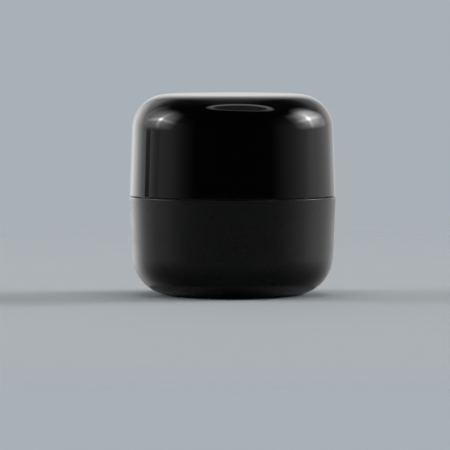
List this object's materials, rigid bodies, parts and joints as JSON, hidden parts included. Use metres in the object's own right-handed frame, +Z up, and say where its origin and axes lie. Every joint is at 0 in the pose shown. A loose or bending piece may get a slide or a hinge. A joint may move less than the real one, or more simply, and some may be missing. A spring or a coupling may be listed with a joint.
{
  "type": "cosmetic jar",
  "caption": "Round double-wall cream jar with large rounded edges: a gloss black screw lid over a satin black base, with a threaded cup, a sealing disc and steel weights inside.",
  "frame": {"origin": "centre of the foot, on the surface that the jar stands on", "axes": "+Z up along the jar's axis; +X along the pull tab of the sealing disc, through the start of one neck thread"},
  "size_m": [0.062, 0.062, 0.0606],
  "materials": {
    "jar_satin_black": "satin, fine even texture",
    "lid_gloss_black": "high gloss",
    "cup_white": "smooth moulded",
    "disc_natural": "milky, smooth moulded",
    "liner_foam": "fine closed-cell foam",
    "cap_black": "smooth moulded",
    "base_black": "fine spark-eroded texture",
    "pad_rubber": "matt",
    "weight_steel": "turned, zinc plated"
  },
  "bodies": {
    "jar": {"jar_outer_shell": "jar_satin_black", "inner_cup": "cup_white", "base_plate": "base_black", "base_weight": "weight_steel", "foot_pad": "pad_rubber"},
    "disc": {"sealing_disc": "disc_natural"},
    "liner": {"lid_liner": "liner_foam"},
    "lid": {"lid_outer_shell": "lid_gloss_black", "lid_inner_cap": "cap_black", "lid_weight": "weight_steel"}
  },
  "joints": [
    {"name": "lid_rise", "type": "slide", "parent": "jar", "child": "liner", "axis": [0, 0, 1], "range_m": [0, 0.024]},
    {"name": "lid_turn", "type": "hinge", "parent": "liner", "child": "lid", "pos_m": [0, 0, 0.0434], "axis": [0, 0, 1], "range_deg": [0, 1080]},
    {"name": "disc_lift", "type": "slide", "parent": "jar", "child": "disc", "axis": [0, 0, 1], "range_m": [0, 0.008]}
  ],
  "couplings": [
    {"joint": "lid_rise", "follows": "lid_turn", "m_per_rad": 0.0012732},
    {"joint": "disc_lift", "follows": "lid_turn", "m_per_rad": 0.0004244}
  ]
}
